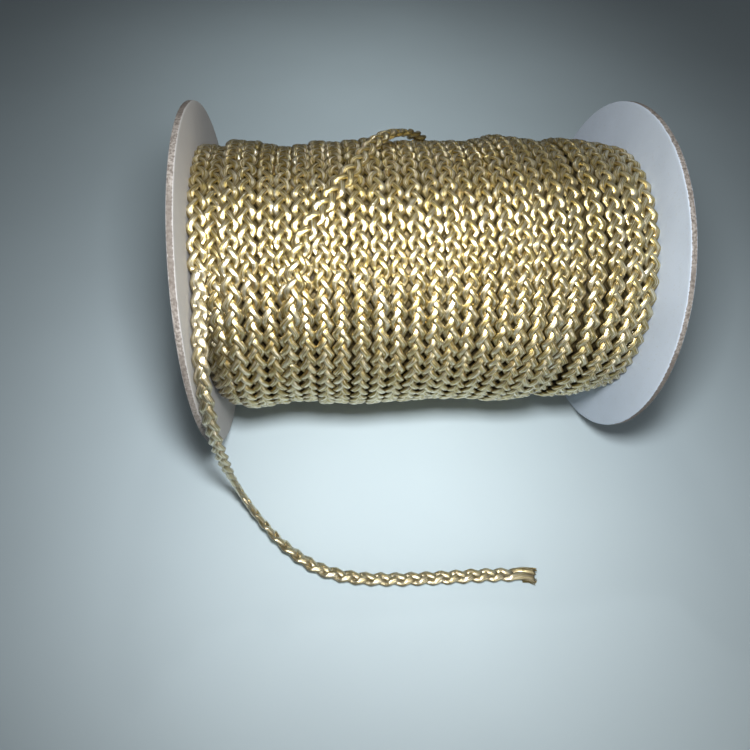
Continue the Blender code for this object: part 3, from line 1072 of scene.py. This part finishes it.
connect(fibres, fibre_finished.outputs[0], fibres_out.inputs["Fibres"])

# %% Frayed tip
FIBRES_PER_STRAND = 16
FIBRE_START = 4.0 * MM
FIBRE_EXTRA = (-0.1, 0.6)
FIBRE_SPREAD = 0.3 * MM
FIBRE_FLARE = 0.35
FIBRE_POINTS = 9
FIBRE_LOWEST = 0.25 * MM
STRAND_FILL = 0.85


def frayed_lines():
    """Lines of fibres that spread from the strands' ends, as points and links."""
    rng = np.random.default_rng(8)
    tip = Vector(loose_places[-1])
    along = (tip - Vector(loose_places[-12])).normalized()
    face = Vector((0.0, 0.0, -1.0))
    side = face.cross(along).normalized()
    points, links = [], []
    for strand_number in range(STRANDS):
        turned_by = loose_phases[-1] + strand_number * math.tau / STRANDS
        zigzag_by = math.sin(turned_by) - ARM_STRAIGHTNESS * math.sin(3 * turned_by)
        middle_across = -loose_swing * (1 + TIP_OPENING) * zigzag_by / (1 + ARM_STRAIGHTNESS)
        rises_by = math.sin(2 * turned_by)
        dip_by = (CORD_THICKNESS - STRAND_THICKNESS) / 2
        middle_up = dip_by * rises_by / math.hypot(rises_by, DIVE_LENGTH)
        for _ in range(FIBRES_PER_STRAND):
            reach = math.sqrt(rng.uniform(0, 1)) * STRAND_FILL
            angle = rng.uniform(0, math.tau)
            across_by = middle_across + loose_half * reach * math.cos(angle)
            up_by = middle_up + STRAND_THICKNESS / 2 * reach * math.sin(angle)
            length = FIBRE_START + rng.uniform(*FIBRE_EXTRA) * MM
            spread = Vector(rng.normal(0.0, FIBRE_SPREAD, 3)) + side * middle_across * FIBRE_FLARE
            for step in range(FIBRE_POINTS):
                share = step / (FIBRE_POINTS - 1)
                point = tip + side * across_by + face * up_by
                point += along * (length * share - FIBRE_START) + spread * share ** 2
                point.z = max(point.z, FIBRE_LOWEST)
                if step:
                    links.append((len(points) - 1, len(points)))
                points.append(point)
    return points, links


def frayed_tip():
    points, links = frayed_lines()
    mesh = bpy.data.meshes.new("frayed_tip")
    mesh.from_pydata(points, links, [])
    item = bpy.data.objects.new("frayed_tip", mesh)
    bpy.context.collection.objects.link(item)
    return use_tree(item, fibres, yarn=OUTER_YARN)


tip_fibres = frayed_tip()
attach(tip_fibres, "root")

# %% [markdown]
# The spool stands on a pale blue-grey table. It is not part of the object, so it is only a wide
# flat sheet with a matt finish and a very faint grain.

# %% Floor
FLOOR_HALF = 1.2
FLOOR_COLOUR = (0.525, 0.625, 0.67)


def floor_material():
    material, tree, shader = new_material("floor", 0.75, 0.0)
    place = place_node(tree, "ShaderNodeTexCoord").outputs["Object"]
    noise = place_node(tree, "ShaderNodeTexNoise", {"Vector": place, "Scale": 9.0, "Detail": 3.0})
    darker = [0.93 * part for part in FLOOR_COLOUR]
    colour = ramp(tree, noise.outputs[0], (0.3, darker), (0.7, FLOOR_COLOUR))
    connect(tree, colour, shader.inputs["Base Color"])
    return material


floor_mesh = bpy.data.meshes.new("floor")
ways_out = ((-1, -1), (1, -1), (1, 1), (-1, 1))
floor_corners = [(x * FLOOR_HALF, y * FLOOR_HALF, 0.0) for x, y in ways_out]
floor_mesh.from_pydata(floor_corners, [], [(0, 1, 2, 3)])
floor_mesh.materials.append(floor_material())
floor = bpy.data.objects.new("floor", floor_mesh)
bpy.context.collection.objects.link(floor)

# %% [markdown]
# The light is one small bright lamp near the camera on its right, as a flash would be, which
# gives the yarn its sparkle and throws each disc's shadow outwards. A weaker one behind draws
# thin bright lines on the top turns. A lamp over the table behind, a soft one in front and a dim
# room all round keep the shadows open.

# %% Light
LAMPS = (
    ("key", (-0.022, -0.105, 0.196), (0.0, 0.0, 0.02), 0.03, 0.26, 120.0, (0.98, 0.99, 1.0)),
    ("back", (0.0, 0.21, 0.32), (0.0, 0.21, 0.0), 0.10, 0.065, 80.0, (0.95, 1.0, 1.0)),
    ("front", (0.15, -0.33, 0.10), (0.0, -0.04, 0.04), 0.12, 0.085, 120.0, (1.0, 0.98, 0.94)),
    ("top lines", (-0.01, 0.14, 0.30), (0.0, 0.0, 0.08), 0.01, 0.007, 50.0, (1.0, 0.99, 0.96)),
)
ROOM_COLOUR = (0.93, 0.97, 1.0, 1.0)
ROOM_STRENGTH = 0.08

for name, place, target, size, power, spread, colour in LAMPS:
    lamp_data = bpy.data.lights.new(name, "AREA")
    lamp_data.size = size
    lamp_data.energy = power
    lamp_data.spread = math.radians(spread)
    lamp_data.color = colour
    lamp = bpy.data.objects.new(name, lamp_data)
    lamp.location = place
    aim = Vector(target) - Vector(place)
    lamp.rotation_euler = aim.to_track_quat("-Z", "Y").to_euler()
    bpy.context.collection.objects.link(lamp)

world = bpy.data.worlds.new("room")
world.use_nodes = True
backdrop = world.node_tree.nodes["Background"]
backdrop.inputs["Color"].default_value = ROOM_COLOUR
backdrop.inputs["Strength"].default_value = ROOM_STRENGTH
bpy.context.scene.world = world
bpy.context.scene.view_settings.view_transform = "Standard"
print("lamps:", [lamp[0] for lamp in LAMPS])
